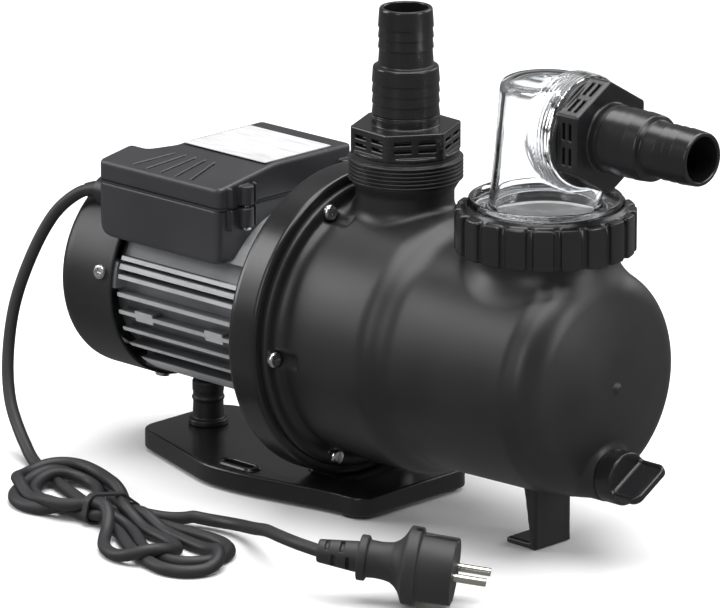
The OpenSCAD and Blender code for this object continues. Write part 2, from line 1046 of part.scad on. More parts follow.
module at_plug() {
  translate(plug_at)
    rotate([0, 0, plug_turn])
      rotate([0, 90 + plug_tilt, 0])
        children();
}

module plug_body() {
  color("#232427")
  at_plug()
    difference() {
      rotate_extrude()
        polygon(concat(
          [[0, -55], [6, -55], [9.5, -31], [13, -31]],
          eased([[13, -27, 0], [11.5, -22, 6], [12.5, -10, 6], [22.4, -3.2, 0]]),
          [[22.4, 3.2], [19.5, 4.2], [19.5, 24], [0, 24]]));
      for (s = [-1, 1])
        translate([0, s * 9.5, 12])
          cylinder(r = 2.22, h = 20);
      for (s = [-1, 1])
        translate([s * 18.6, 0, 15])
          cube([3, 6, 30], center = true);
    }
}

module plug_pins() {
  color("#d9d9d2")
  at_plug()
    for (s = [-1, 1])
      translate([0, s * 9.5, 0]) {
        translate([0, 0, 12.02])
          cylinder(r = 2.2, h = 12.2);
        translate([0, 0, 24.1])
          cylinder(r = 2.4, h = 18.9);
      }
}

module plug_earth_clips() {
  color("#d9d9d2")
  at_plug()
    for (s = [-1, 1])
      translate([s * 18.2, 0, 12])
        cube([1.4, 5.6, 23.6], center = true);
}

base_plate();
base_pads();
base_screws();
motor_post();
motor_housing();
rear_bracket();
front_bracket();
tie_rods();
stator_core();
stator_windings();
rotor_core();
motor_shaft();
bearing_outer_rings();
bearing_inner_rings();
bearing_balls();
cooling_fan();
fan_cover();
fan_cover_screws();
terminal_box();
box_gasket();
box_lid();
box_screws();
rating_label();
run_capacitor();
terminal_block();
cable_gland();
seal_plate();
housing_o_ring();
seal_seat();
seal_head();
impeller();
impeller_nut();
diffuser();
pump_housing();
housing_screws();
strainer_basket();
cover_o_ring();
strainer_cover();
lock_ring();
suction_hose_tail();
suction_gasket();
discharge_hose_tail();
discharge_gasket();
drain_plug();
drain_o_ring();
power_cord();
cord_hank();
cord_tie();
plug_lead();
plug_body();
plug_pins();
plug_earth_clips();
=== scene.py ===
import math

import bmesh
import bpy
import numpy as np
from mathutils import Matrix, Vector


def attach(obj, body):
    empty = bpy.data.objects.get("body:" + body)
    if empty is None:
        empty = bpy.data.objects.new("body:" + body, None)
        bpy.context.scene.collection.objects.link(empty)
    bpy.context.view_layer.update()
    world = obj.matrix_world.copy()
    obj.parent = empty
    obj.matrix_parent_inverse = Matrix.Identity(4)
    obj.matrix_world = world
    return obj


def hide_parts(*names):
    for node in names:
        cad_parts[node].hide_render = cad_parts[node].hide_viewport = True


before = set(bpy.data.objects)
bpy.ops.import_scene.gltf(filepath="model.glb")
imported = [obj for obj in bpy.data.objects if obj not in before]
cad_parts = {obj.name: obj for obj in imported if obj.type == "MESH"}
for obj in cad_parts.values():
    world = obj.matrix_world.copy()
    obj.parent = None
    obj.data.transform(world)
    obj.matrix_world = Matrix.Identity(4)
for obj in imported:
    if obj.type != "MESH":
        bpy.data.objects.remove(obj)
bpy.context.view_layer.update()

MM = 0.001
AXIS_Z = 105


# ---------------------------------------------------------------- camera

CAMERA_AZIMUTH = math.radians(44.16)
CAMERA_ELEVATION = math.radians(16.11)
CAMERA_DISTANCE = 4.2
CAMERA_LENS = 356.2
CAMERA_TARGET = Vector((-0.0371, 0.0, 0.1144))


def make_camera():
    """A long lens at the photograph's angle."""
    data = bpy.data.cameras.new("camera")
    data.lens = CAMERA_LENS
    data.clip_end = 100
    camera = bpy.data.objects.new("camera", data)
    bpy.context.scene.collection.objects.link(camera)
    flat = math.cos(CAMERA_ELEVATION)
    back = Vector((math.sin(CAMERA_AZIMUTH) * flat, -math.cos(CAMERA_AZIMUTH) * flat,
                   math.sin(CAMERA_ELEVATION)))
    camera.location = CAMERA_TARGET + back * CAMERA_DISTANCE
    camera.rotation_mode = "QUATERNION"
    camera.rotation_quaternion = back.to_track_quat("Z", "Y")
    bpy.context.scene.camera = camera


make_camera()


# ---------------------------------------------------------------- helpers


def stand(name, data, body, at=Matrix()):
    """A new piece from a mesh or curve, riding on a CAD body."""
    piece = bpy.data.objects.new(name, data)
    bpy.context.scene.collection.objects.link(piece)
    piece.matrix_world = at
    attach(piece, body)
    return piece


def place(name, mesh, body, slot, smooth=True, at=Matrix()):
    """A new piece from a mesh, in the material of its slot."""
    mesh.materials.append(MATERIALS[slot])
    for face in mesh.polygons:
        face.use_smooth = smooth
    return stand(name, mesh, body, at)


def catmull(points, steps):
    """Smooth line through points, with this many steps between two of them."""
    points = [Vector(p) for p in points]
    out = []
    for i in range(len(points) - 1):
        a = points[max(i - 1, 0)]
        b = points[i]
        c = points[i + 1]
        d = points[min(i + 2, len(points) - 1)]
        for k in range(steps):
            t = k / steps
            out.append(0.5 * (2 * b + (c - a) * t + (2 * a - 5 * b + 4 * c - d) * t * t
                              + (3 * b - a - 3 * c + d) * t * t * t))
    out.append(points[-1])
    return out


def spaced(points, spacing):
    """The same line as an array of evenly spaced points."""
    line = np.array([list(p) for p in points], float)
    run = np.concatenate([[0], np.cumsum(np.linalg.norm(np.diff(line, axis=0), axis=1))])
    marks = np.linspace(0, run[-1], max(2, round(run[-1] / spacing) + 1))
    return np.stack([np.interp(marks, run, line[:, i]) for i in range(3)], axis=1)


# ---------------------------------------------------------------- materials


def node_material(name):
    """A new material, its node tree and its Principled shader."""
    material = bpy.data.materials.new(name)
    material.use_nodes = True
    tree = material.node_tree
    return material, tree, tree.nodes["Principled BSDF"]


def add(tree, kind, inputs=(), **settings):
    """A node with its settings, and its inputs as values or linked sockets."""
    node = tree.nodes.new(kind)
    for key, value in settings.items():
        setattr(node, key, value)
    for key, value in dict(inputs).items():
        if isinstance(value, bpy.types.NodeSocket):
            tree.links.new(value, node.inputs[key])
        else:
            node.inputs[key].default_value = value
    return node


def noise(tree, scale, detail=3.0, stretch=(1, 1, 1)):
    """Noise in the object's own frame, from 0 to 1."""
    coords = add(tree, "ShaderNodeTexCoord")
    mapping = add(tree, "ShaderNodeMapping", {"Vector": coords.outputs["Object"], "Scale": stretch})
    texture = add(tree, "ShaderNodeTexNoise",
                  {"Vector": mapping.outputs["Vector"], "Scale": scale, "Detail": detail})
    return texture.outputs["Fac"]


def between(tree, factor, low, high, start=0.3, end=0.7):
    """A value that goes from low to high as factor goes from start to end."""
    return add(tree, "ShaderNodeMapRange", {"Value": factor, "From Min": start, "From Max": end,
                                            "To Min": low, "To Max": high}).outputs["Result"]


def tinted(tree, factor, dark, light):
    """A colour between two others."""
    mix = add(tree, "ShaderNodeMix", data_type="RGBA")
    tree.links.new(factor, mix.inputs[0])
    mix.inputs[6].default_value = (*dark, 1)
    mix.inputs[7].default_value = (*light, 1)
    return mix.outputs[2]


def surface(name, dark, light, rough, grain, grain_depth, metal=0.0, patch=18, stretch=(1, 1, 1)):
    """Moulded, cast or turned stuff: two tones in soft patches, uneven gloss and a fine grain."""
    material, tree, shader = node_material(name)
    patches = noise(tree, patch, 4, stretch)
    fine = noise(tree, grain, 2, stretch)
    tree.links.new(tinted(tree, between(tree, patches, 0, 1), dark, light), shader.inputs["Base Color"])
    tree.links.new(between(tree, patches, rough * 0.88, rough * 1.14), shader.inputs["Roughness"])
    bump = add(tree, "ShaderNodeBump", {"Height": fine, "Strength": 0.5, "Distance": grain_depth})
    tree.links.new(bump.outputs["Normal"], shader.inputs["Normal"])
    shader.inputs["Metallic"].default_value = metal
    return material


def fin_aluminium():
    """Grey cast aluminium with a painted highlight: the outer edges of the fins are painted far lighter
    than the faces between them, standing for the light they catch.
    """
    material, tree, shader = node_material("fin_aluminium")
    coords = add(tree, "ShaderNodeTexCoord")
    out = add(tree, "ShaderNodeVectorMath", {0: coords.outputs["Object"], 1: (0, 0, AXIS_Z * MM)},
              operation="SUBTRACT")
    flat = add(tree, "ShaderNodeVectorMath", {0: out.outputs["Vector"], 1: (0, 1, 1)}, operation="MULTIPLY")
    radius = add(tree, "ShaderNodeVectorMath", {0: flat.outputs["Vector"]}, operation="LENGTH")
    # painted highlight mask: 1 beyond 59 mm from the motor axis, at the fins' outer edges that face the
    # lamps
    edge = between(tree, radius.outputs["Value"], 0, 1, 0.0588, 0.0592)
    tone = between(tree, noise(tree, 160, 4, (0.2, 1, 1)), 0.85, 1.15)
    # dark grey on the faces between the fins, painted highlight colour on the fin edges
    colour = tinted(tree, edge, (0.15, 0.153, 0.16), (0.40, 0.405, 0.415))
    toned_with_painted_highlight = add(tree, "ShaderNodeVectorMath", {0: colour, "Scale": tone}, operation="SCALE")
    tree.links.new(toned_with_painted_highlight.outputs["Vector"], shader.inputs["Base Color"])
    bump = add(tree, "ShaderNodeBump",
               {"Height": noise(tree, 900, 2), "Strength": 0.5, "Distance": 0.00006})
    tree.links.new(bump.outputs["Normal"], shader.inputs["Normal"])
    shader.inputs["Metallic"].default_value = 0.35
    shader.inputs["Roughness"].default_value = 0.5
    return material


def clear_plastic():
    """Clear polycarbonate with a faint uneven skin."""
    material, tree, shader = node_material("clear_plastic")
    fine = noise(tree, 60, 2)
    shader.inputs["Base Color"].default_value = (0.97, 0.985, 1.0, 1)
    shader.inputs["Transmission Weight"].default_value = 1.0
    shader.inputs["IOR"].default_value = 1.45
    tree.links.new(between(tree, fine, 0.01, 0.035), shader.inputs["Roughness"])
    return material


MATERIALS = {
    "satin_black_plastic": surface("satin_black_plastic", (0.010, 0.010, 0.011), (0.014, 0.014, 0.015),
                                   0.40, 1400, 0.00006),
    "gloss_black_plastic": surface("gloss_black_plastic", (0.008, 0.008, 0.009), (0.012, 0.012, 0.013),
                                   0.24, 900, 0.00002),
    "box_grey_plastic": surface("box_grey_plastic", (0.020, 0.020, 0.023), (0.027, 0.027, 0.031),
                                0.40, 1600, 0.00006),
    "inner_grey_plastic": surface("inner_grey_plastic", (0.05, 0.055, 0.06), (0.07, 0.075, 0.08),
                                  0.4, 900, 0.00004),
    "white_plastic": surface("white_plastic", (0.72, 0.72, 0.70), (0.8, 0.8, 0.78), 0.38, 900, 0.00003),
    "clear_plastic": clear_plastic(),
    "label_film": surface("label_film", (0.42, 0.42, 0.43), (0.60, 0.60, 0.605), 0.4, 500, 0.00002,
                          patch=420, stretch=(0.12, 1, 1)),
    "fin_aluminium": fin_aluminium(),
    "bracket_aluminium": surface("bracket_aluminium", (0.45, 0.46, 0.47), (0.56, 0.57, 0.58), 0.45, 500,
                                 0.0001, metal=0.9),
    "stainless_screw": surface("stainless_screw", (0.62, 0.62, 0.61), (0.75, 0.75, 0.74), 0.22, 1500,
                               0.00003, metal=1.0),
    "shaft_steel": surface("shaft_steel", (0.5, 0.5, 0.5), (0.62, 0.62, 0.62), 0.25, 900, 0.00003,
                           metal=1.0, stretch=(8, 1, 1)),
    "core_steel": surface("core_steel", (0.22, 0.22, 0.23), (0.32, 0.32, 0.33), 0.45, 1500, 0.0001,
                          metal=0.9, stretch=(20, 0.2, 0.2)),
    "copper_wire": surface("copper_wire", (0.62, 0.25, 0.10), (0.75, 0.34, 0.15), 0.3, 1200, 0.0002,
                           metal=1.0),
    "seal_ceramic": surface("seal_ceramic", (0.75, 0.72, 0.66), (0.82, 0.8, 0.74), 0.25, 600, 0.00002),
    "seal_metal": surface("seal_metal", (0.35, 0.36, 0.38), (0.5, 0.5, 0.52), 0.3, 900, 0.00004, metal=1.0),
    "sealing_rubber": surface("sealing_rubber", (0.015, 0.015, 0.015), (0.022, 0.022, 0.022), 0.6, 900,
                              0.00006),
    "cord_rubber": surface("cord_rubber", (0.012, 0.012, 0.0135), (0.017, 0.017, 0.019), 0.52, 1200,
                           0.00008),
    "nickel_contact": surface("nickel_contact", (0.66, 0.64, 0.58), (0.78, 0.76, 0.70), 0.2, 1500, 0.00002,
                              metal=1.0),
}


def dress_cad_nodes():
    """Gives each CAD node the material of its slot."""
    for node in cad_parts.values():
        for slot in node.material_slots:
            base = slot.material.name.split(".")[0]
            slot.material = MATERIALS[base]


dress_cad_nodes()


# ---------------------------------------------------------------- solid shapes as distance fields


def eased(points, steps=5):
    """An outline of (u, v, corner radius) points with each corner rounded."""
    out = []
    for i, (u, v, radius) in enumerate(points):
        here = np.array([u, v], float)
        if radius == 0:
            out.append(here)
            continue
        before = np.array(points[i - 1][:2], float) - here
        after = np.array(points[(i + 1) % len(points)][:2], float) - here
        start = here + radius * before / np.linalg.norm(before)
        end = here + radius * after / np.linalg.norm(after)
        for k in range(steps + 1):
            t = k / steps
            out.append((1 - t) ** 2 * start + 2 * t * (1 - t) * here + t * t * end)
    return out


def outline_distance(points, u, v):
    """Distance to a closed outline, below zero inside it."""
    best = np.full(u.shape, 1e12)
    sign = np.ones(u.shape)
    for (au, av), (bu, bv) in zip(points, points[1:] + points[:1]):
        eu, ev = bu - au, bv - av
        length = eu * eu + ev * ev
        if length < 1e-12:
            continue
        wu, wv = u - au, v - av
        t = np.clip((wu * eu + wv * ev) / length, 0, 1)
        best = np.minimum(best, (wu - eu * t) ** 2 + (wv - ev * t) ** 2)
        above, below, left = v >= av, v < bv, eu * wv > ev * wu
        sign = np.where((above & below & left) | (~above & ~below & ~left), -sign, sign)
    return sign * np.sqrt(best)


class Outline:
    """A closed flat outline that gives the distance to it, below zero inside, from a fine table."""

    CELL = 0.3
    MARGIN = 8

    def __init__(self, points):
        points = [(float(p[0]), float(p[1])) for p in points]
        self.low = np.min(points, axis=0) - self.MARGIN
        count = np.ceil((np.max(points, axis=0) + self.MARGIN - self.low) / self.CELL).astype(int) + 1
        self.last = count - 1.001
        axes = [low + self.CELL * np.arange(n) for low, n in zip(self.low, count)]
        grid = np.meshgrid(*axes, indexing="ij")
        self.table = outline_distance(points, *grid).astype(np.float32)

    def __call__(self, u, v):
        u, v = (u - self.low[0]) / self.CELL, (v - self.low[1]) / self.CELL
        inner_u, inner_v = np.clip(u, 0, self.last[0]), np.clip(v, 0, self.last[1])
        beyond = np.sqrt((u - inner_u) ** 2 + (v - inner_v) ** 2) * self.CELL
        i, j = inner_u.astype(np.int32), inner_v.astype(np.int32)
        s, t = inner_u - i, inner_v - j
        near = (self.table[i, j] * (1 - s) + self.table[i + 1, j] * s) * (1 - t)
        far = (self.table[i, j + 1] * (1 - s) + self.table[i + 1, j + 1] * s) * t
        return near + far + beyond


def melt(a, b, radius):
    """Union of two fields with a fillet of this radius between them."""
    near_a, near_b = np.maximum(radius - a, 0), np.maximum(radius - b, 0)
    return np.maximum(radius, np.minimum(a, b)) - np.sqrt(near_a * near_a + near_b * near_b)


def carve(a, b, radius):
    """Field a less field b, with the new edge rounded."""
    return -melt(-a, b, radius)


def meet(a, b, radius):
    """Where both fields are solid, with the edge between them rounded."""
    return -melt(-a, -b, radius)


def rod_field(radial, along, radius, low, high, edge=0.5):
    """Round bar from low to high along its axis."""
    return meet(radial - radius, np.maximum(low - along, along - high), edge)


def block_field(x, y, z, low, high, edge):
    """Block between two corners with rounded edges."""
    q = [np.maximum(lo + edge - c, c - (hi - edge)) for c, lo, hi in zip((x, y, z), low, high)]
    outside = np.sqrt(sum(np.maximum(c, 0) ** 2 for c in q))
    return outside + np.minimum(np.maximum(np.maximum(q[0], q[1]), q[2]), 0) - edge


def skin_mesh(name, field, low, high, step):
    """Closed mesh of the surface where field(x, y, z) is zero, in millimetres, made in metres."""
    axes = [np.arange(lo - 2 * step, hi + 3 * step, step, dtype=np.float32) for lo, hi in zip(low, high)]
    value = banded_values(field, axes, step)
    shape = tuple(n - 1 for n in value.shape)
    total = np.zeros(shape, np.float32)
    middle = np.zeros((3, *shape), np.float32)
    crossings = []
    for axis in range(3):
        after = [slice(None)] * 3
        before = [slice(None)] * 3
        after[axis], before[axis] = slice(1, None), slice(None, -1)
        first, second = value[tuple(before)], value[tuple(after)]
        cut = (first < 0) != (second < 0)
        share = np.where(cut, first / np.where(cut, first - second, 1), 0)
        others = [a for a in range(3) if a != axis]
        for corner in ((0, 0), (0, 1), (1, 0), (1, 1)):
            part = [slice(None)] * 3
            for a, c in zip(others, corner):
                part[a] = slice(c, shape[a] + c)
            hit = cut[tuple(part)]
            total += hit
            middle[axis] += np.where(hit, share[tuple(part)], 0)
            for a, c in zip(others, corner):
                middle[a] += hit * c
        crossings.append((axis, others, cut, first))
    used = total > 0
    number = np.full(shape, -1)
    number[used] = np.arange(used.sum())
    place_in = np.argwhere(used)
    corners = np.stack([axes[a][place_in[:, a]] for a in range(3)], axis=1)
    points = corners + (middle[:, used] / total[used]).T * step
    points = onto_surface(points.astype(np.float64), field, step)
    return quad_mesh(name, points * MM, surface_quads(crossings, number))


def surface_quads(crossings, number):
    """One quad, facing outwards, for each grid edge that the surface crosses."""
    quads = []
    for axis, others, cut, first in crossings:
        where = np.argwhere(cut)
        inside = first[cut] < 0
        ring = []
        for du, dv in ((0, 0), (1, 0), (1, 1), (0, 1)):
            cell = where.copy()
            cell[:, others[0]] -= du
            cell[:, others[1]] -= dv
            ring.append(number[tuple(cell.T)])
        ring = np.stack(ring, axis=1)
        flip = ~inside if axis != 1 else inside
        ring[flip] = ring[flip][:, ::-1]
        quads.append(ring)
    return np.concatenate(quads)


def quad_mesh(name, points, quads):
    """A mesh from arrays of points and of quads."""
    mesh = bpy.data.meshes.new(name)
    mesh.vertices.add(len(points))
    mesh.vertices.foreach_set("co", points.ravel())
    mesh.loops.add(quads.size)
    mesh.loops.foreach_set("vertex_index", quads.ravel())
    mesh.polygons.add(len(quads))
    mesh.polygons.foreach_set("loop_start", np.arange(0, quads.size, 4))
    mesh.update()
    mesh.validate()
    return mesh


def banded_values(field, axes, step, block=4):
    """The field on a grid, exact near its surface, and only with the right sign far from it."""
    middles = [axis[::block] + step * (block - 1) / 2 for axis in axes]
    coarse = field(*np.meshgrid(*middles, indexing="ij")).astype(np.float32)
    value = coarse
    for a in range(3):
        value = np.repeat(value, block, axis=a)
    value = value[tuple(slice(len(axis)) for axis in axes)].copy()
    near = np.nonzero(np.abs(value) < step * (0.87 * block + 1.3))
    value[near] = field(*(axis[i] for axis, i in zip(axes, near)))
    return value


def onto_surface(points, field, step):
    """Moves points along the field's slope until they lie on its surface."""
    tiny = step * 0.05
    for _ in range(3):
        here = field(*points.T)
        slope = np.stack([(field(*(points + offset).T) - here) / tiny
                          for offset in np.eye(3) * tiny], axis=1)
        size = np.maximum((slope ** 2).sum(axis=1), 0.25)
        move = slope * (here / size)[:, None]
        points = points - np.clip(move, -step / 2, step / 2)
    return points


def turned_mesh(name, outline, sides=96):
    """Closed ring turned from an outline of (radius, height) points, anticlockwise, in millimetres."""
    count = len(outline)
    points = []
    for k in range(sides):
        turn = 2 * math.pi * k / sides
        points += [(r * math.cos(turn) * MM, r * math.sin(turn) * MM, z * MM) for r, z in outline]
    faces = []
    for k in range(sides):
        here, there = count * k, count * ((k + 1) % sides)
        for i in range(count):
            after = (i + 1) % count
            faces.append((here + i, there + i, there + after, here + after))
    mesh = bpy.data.meshes.new(name)
    mesh.from_pydata(points, [], faces)
    return mesh


def joined(name, *meshes):
    """One mesh from several."""
    whole = bmesh.new()
    for mesh in meshes:
        whole.from_mesh(mesh)
    out = bpy.data.meshes.new(name)
    whole.to_mesh(out)
    whole.free()
    return out


def skin(name, field, low, high, step, body, slot, *nodes):
    """A moulded piece from its field, standing for CAD nodes."""
    mesh = skin_mesh(name, field, low, high, step)
    piece = place(name, mesh, body, slot)
    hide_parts(*nodes)
    return piece


def repeated(angle, count, turn=0.0):
    """Folds an angle so that this many equal sectors lie on top of each other."""
    pitch = 2 * math.pi / count
    return np.mod(angle - turn + pitch / 2, pitch) - pitch / 2


# ---------------------------------------------------------------- mains cord

CORD_D = 7.5
CORD_R = CORD_D / 2
CORD_SPACING = 4.0
HANK_FROM = Vector((-200, -125, 0))
HANK_ALONG = Vector((0.978, -0.208, 0))
HANK_ACROSS = Vector((0.208, 0.978, 0))
FOLD_R = 22.0
TIE_AT = 104
TIE_HALF = 14.5
TIE_TOP = 15.5
TIE_WIDTH = 5.0
TIE_THICK = 1.3
RELIEF_LENGTH = 26

DROP_ROUTE = [(-197, -45, 161), (-212, -45, 160.6), (-228, -47, 155), (-243, -53, 140), (-253, -62, 115),
              (-258, -72, 85), (-255, -81, 55), (-245, -89, 31), (-227, -97, 14), (-206, -107, 6)]
LEAD_ROUTE = [(-72, -128, 8), (-48, -118, 6), (-23, -117, 8), (0, -126, 13), (23, -139, 20), (46, -152, 25),
              (69, -161, 28), (91, -162.5, 28)]


# for each turn: the right fold's reach and lean, its way back through the tie (across, height), the left
# fold's half width, start and height, and its way on through the tie
HANK_TURNS = (
    (210, 9, (-8, 4), 24, 24, 4, (8, 4)),
    (224, -9, (-15, 4), 30, 19, 4.5, (4, 11)),
    (192, -14, (-4, 11), 28, 12, 12, (12, 11)))
LAYER = 7
LEFT_FOLD = (-130, -100, -70, -40, -10, 25, 60, 95, 125)


def on_hank(along, across, height):
    """A point given along and across the hank, in the frame's millimetres."""
    flat = HANK_FROM + HANK_ALONG * along + HANK_ACROSS * across
    return Vector((flat.x, flat.y, height))


def hank_route():
    """The hank's turns: each goes round a right fold, back through the tie and round a left fold."""
    out = [on_hank(22, 9, 4), on_hank(45, 3, 4), on_hank(75, -2, 4), on_hank(TIE_AT, 0, 4)]
    for turn, (reach, lean, back, wide, left, high, on) in enumerate(HANK_TURNS):
        layer = 4 + LAYER * turn
        out += [on_hank(reach - 62, 8 + lean / 2, layer), on_hank(reach - 34, 20 + lean, layer),
                on_hank(reach - 8, 17 + lean, layer), on_hank(reach, -4 + lean, layer * 0.8 + 1),
                on_hank(reach - 14, -23 + lean, layer * 0.5 + 2), on_hank(reach - 44, -20 + lean / 2, 5)]
        out.append(on_hank(TIE_AT, *back))
        for degrees in LEFT_FOLD:
            across = wide * math.sin(math.radians(degrees))
            along = left + 44 * (1 - math.cos(math.radians(degrees))) - 0.7 * across
            out.append(on_hank(along, across, high + (4 if -20 < degrees < 100 else 0)))
        out.append(on_hank(TIE_AT, *on))
    return out


SETTLE_ROUNDS = 260
SINK = 0.12
STIFFNESS = 0.2


def settle(line, held):
    """Lets the cord lie down: it keeps its length, bends gently and rests beside and on itself."""
    line = line.copy()
    home = line.copy()
    span = np.linalg.norm(np.diff(line, axis=0), axis=1).mean()
    index = np.arange(len(line))
    apart = np.abs(index[:, None] - index[None, :]) > 5
    reach = 6
    least_chord = 2 * FOLD_R * math.sin(reach * span / (2 * FOLD_R))
    for _ in range(SETTLE_ROUNDS):
        line[:, 2] -= SINK
        for _ in range(2):
            push(line, 1, span, both=True)
            push(line, reach, least_chord, both=False)
            gap = line[:, None, :] - line[None, :, :]
            far = np.linalg.norm(gap, axis=2) + 1e-9
            lap = np.where(apart, np.maximum(CORD_D + 0.05 - far, 0), 0)
            line += (gap / far[:, :, None] * lap[:, :, None]).sum(axis=1) * 0.25
            line[1:-1] += STIFFNESS * ((line[:-2] + line[2:]) / 2 - line[1:-1])
            line[:, 2] = np.maximum(line[:, 2], CORD_R)
            squeeze(line)
            line[held] = home[held]
    for _ in range(10):
        line[1:-1] += 0.4 * ((line[:-2] + line[2:]) / 2 - line[1:-1])
        squeeze(line)
        line[:, 2] = np.maximum(line[:, 2], CORD_R)
        line[held] = home[held]
    return line


def push(line, step, length, both):
    """Moves points that are step apart towards this distance, or only outwards to it."""
    for phase in range(step + 1):
        a = np.arange(phase, len(line) - step, step + 1)
        b = a + step
        gap = line[b] - line[a]
        far = np.linalg.norm(gap, axis=1, keepdims=True)
        off = far - length if both else np.minimum(far - length, 0)
        move = gap / far * off * 0.5
        line[a] += move
        line[b] -= move


def hank_frame(line):
    """Distances along and across the hank of each point of a line."""
    rel = line[:, :2] - np.array(HANK_FROM)[:2]
    return rel @ np.array(HANK_ALONG)[:2], rel @ np.array(HANK_ACROSS)[:2]


def squeeze(line):
    """Keeps what passes under the tie within its band and clear of the floor under it."""
    along, across = hank_frame(line)
    near = np.abs(along - TIE_AT) < 8
    want = np.clip(across, -TIE_HALF, TIE_HALF)
    line[near, :2] += np.outer((want - across)[near], np.array(HANK_ACROSS)[:2])
    line[near, 2] = np.clip(line[near, 2], CORD_R + TIE_THICK, TIE_TOP)


def mains_cord():
    """The whole cord from the gland to the plug, as one line in millimetres."""
    drop = spaced(catmull(DROP_ROUTE, 12), CORD_SPACING)
    lead = spaced(catmull(LEAD_ROUTE, 12), CORD_SPACING)
    middle = spaced(catmull([DROP_ROUTE[-1]] + hank_route() + [LEAD_ROUTE[0]], 12), CORD_SPACING)
    line = np.concatenate([drop[:-1], middle, lead[1:]])
    line = spaced(line, CORD_SPACING)
    index = np.arange(len(line))
    held = (index < len(drop) - 4) | (index >= len(line) - len(lead) + 4)
    return settle(line, held)


def cord_curve(name, line, radius, end_radius=None):
    """A round cord along a line of points in millimetres, which may taper."""
    line = [Vector(p) * MM for p in spaced(catmull(line, 3), 2.0)]
    curve = bpy.data.curves.new(name, "CURVE")
    curve.dimensions = "3D"
    spline = curve.splines.new("POLY")
    spline.points.add(len(line) - 1)
    taper = (end_radius or radius) / radius - 1
    for i, (point, at) in enumerate(zip(spline.points, line)):
        point.co = (*at, 1)
        point.radius = 1 + taper * i / (len(line) - 1)
    curve.bevel_depth = radius * MM
    curve.bevel_resolution = 5
    curve.use_fill_caps = True
    curve.materials.append(MATERIALS["cord_rubber"])
    return stand(name, curve, "base")


def tie_mesh(line):
    """A flat band drawn tight round everything that passes under the tie."""
    along, across = hank_frame(line)
    near = np.abs(along - TIE_AT) < 4
    centres = np.stack([across[near], line[near, 2]], axis=1)
    rings = []
    for k in range(72):
        turn = 2 * math.pi * k / 72
        facing = np.array([math.cos(turn), math.sin(turn)])
        outermost = centres[np.argmax(centres @ facing)]
        for out, side in ((0.02, -1), (0.02, 1), (TIE_THICK - 0.05, 1), (TIE_THICK - 0.05, -1)):
            at = outermost + facing * (CORD_R + out)
            rings.append(on_hank(TIE_AT + side * TIE_WIDTH / 2, at[0], max(at[1], 0.1)) * MM)
    faces = []
    for k in range(72):
        here, there = 4 * k, 4 * ((k + 1) % 72)
        faces += [(here + i, here + (i + 1) % 4, there + (i + 1) % 4, there + i) for i in range(4)]
    mesh = bpy.data.meshes.new("tie")
    mesh.from_pydata(rings, [], faces)
    return mesh


PLUG_OUTLINE = Outline(eased([
    (-10, -55, 0), (6.6, -55, 1.5), (9, -31.5, 0.6), (13.1, -31, 0.8), (13.1, -26.5, 0.8),
    (10.9, -25.8, 0.8), (10.3, -16, 6), (13, -8, 6), (22.5, -3.6, 0.8), (22.5, 3.2, 0.8),
    (19.8, 4, 0.6), (19.5, 24, 0.9), (-10, 24, 0)], 8))
PLUG_GRIP_TURN = math.radians(27.8)
PLUG_AT = (0.134, -0.133, 0.0228)
PLUG_HEADING = math.radians(35)
PLUG_TILT = math.radians(96.5)


def plug_body_field(x, y, z):
    """The plug in its own frame, pins upwards."""
    radial = np.hypot(x, y)
    body = PLUG_OUTLINE(radial, z)
    for heights, turn in (((-49.4, -40.8), PLUG_GRIP_TURN), ((-45.1, -36.5), PLUG_GRIP_TURN + math.pi / 2)):
        across = repeated(np.arctan2(y, x), 2, turn)
        for height in heights:
            slot = np.maximum(np.abs(z - height) - 1.1, (np.abs(across) - 0.62) * radial)
            body = carve(body, np.maximum(slot, 5.6 - radial), 0.25)
    body = carve(body, rod_field(np.hypot(x, np.abs(y) - 9.5), z, 2.45, 14, 40, 0.2), 0.3)
    return carve(body, block_field(np.abs(x), y, z, (17.2, -3, 0), (25, 3, 30), 0.3), 0.3)


def make_plug_body():
    """The plug lying on the floor on its collar."""
    mesh = skin_mesh("plug", plug_body_field, (-23, -23, -56), (23, 23, 25), 0.6)
    at = (Matrix.Translation(PLUG_AT) @ Matrix.Rotation(PLUG_HEADING, 4, "Z")
          @ Matrix.Rotation(PLUG_TILT, 4, "Y"))
    piece = place("plug_moulded", mesh, "base", "cord_rubber", at=at)
    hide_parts("plug_body")
    return piece


cord_line = mains_cord()
cord = cord_curve("mains_cord", cord_line, CORD_R)
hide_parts("power_cord", "cord_hank", "plug_lead")
tie = place("cord_tie_band", tie_mesh(cord_line), "base", "cord_rubber", smooth=False)
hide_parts("cord_tie")
plug = make_plug_body()
cord_curve("cord_strain_relief", cord_line[:1 + round(RELIEF_LENGTH / CORD_SPACING)], 6.0, 4.4)


# ---------------------------------------------------------------- pump housing

LID_X = 111
DRAIN_X = 164
DRAIN_Z = 53
SCREW_ANGLES = (25, 94, 159, -25, -94, -159)
SCREW_CIRCLE = 81.5

HOUSING_OUTLINE = Outline(eased([
    (-20, -43.98, 0), (87.1, -43.98, 0.5), (87.1, -29, 2), (79.6, -29, 1.5), (77.4, -24, 2), (78, -17, 3),
    (78, 38, 5.5), (70.6, 50, 6), (68.6, 139, 2.5), (65.5, 149.5, 3.5), (59, 157.2, 7), (33, 163.9, 14),
    (12, 167.4, 10), (0, 167.7, 0), (-20, 167.7, 0)]))
POT_OUTLINE = Outline(eased([
    (-20, 14, 0), (64, 14, 4), (65.5, 50, 4), (64, 137, 5), (59, 150, 8), (32, 158, 12), (0, 161.8, 0),
    (-20, 161.8, 0)]))


def thread_points(radius, depth, start, pitch, count):
    """Rounded thread ridges as (radius, height, corner) points."""
    out = []
    for i in range(count):
        out.append((radius - depth, start + (i + 0.1) * pitch, 0.25))
        out.append((radius, start + (i + 0.35) * pitch, 0.3))
        out.append((radius, start + (i + 0.65) * pitch, 0.3))
        out.append((radius - depth, start + (i + 0.9) * pitch, 0.25))
    return out


